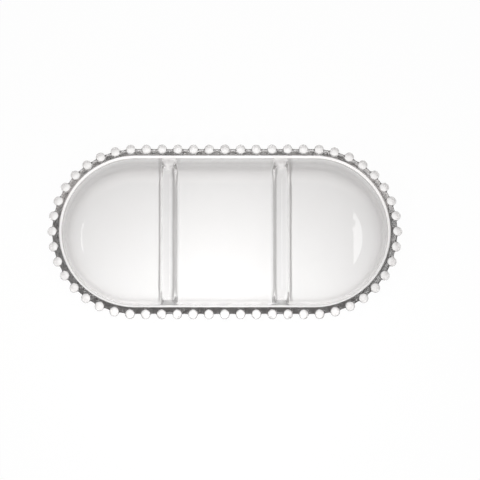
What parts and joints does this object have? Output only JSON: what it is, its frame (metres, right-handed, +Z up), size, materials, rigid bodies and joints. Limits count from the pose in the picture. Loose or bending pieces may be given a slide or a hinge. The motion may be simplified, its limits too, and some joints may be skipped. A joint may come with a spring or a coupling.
{
  "type": "olive dish",
  "caption": "Clear pressed-glass olive dish, racetrack-shaped, with cross dividers that make compartments, a leaning wall and a rim of glass beads.",
  "frame": {"origin": "middle of the flat base, on the table", "axes": "+X along the length to the right, +Y across the dish to the back, +Z up"},
  "size_m": [0.22, 0.11, 0.0291],
  "materials": {
    "clear_glass": "clear, fire-polished"
  },
  "bodies": {
    "root": {"floor_plate": "clear_glass", "side_wall": "clear_glass", "rim_band": "clear_glass", "left_divider": "clear_glass", "right_divider": "clear_glass", "front_side_beads": "clear_glass", "back_side_beads": "clear_glass", "left_end_beads": "clear_glass", "right_end_beads": "clear_glass"}
  },
  "joints": []
}
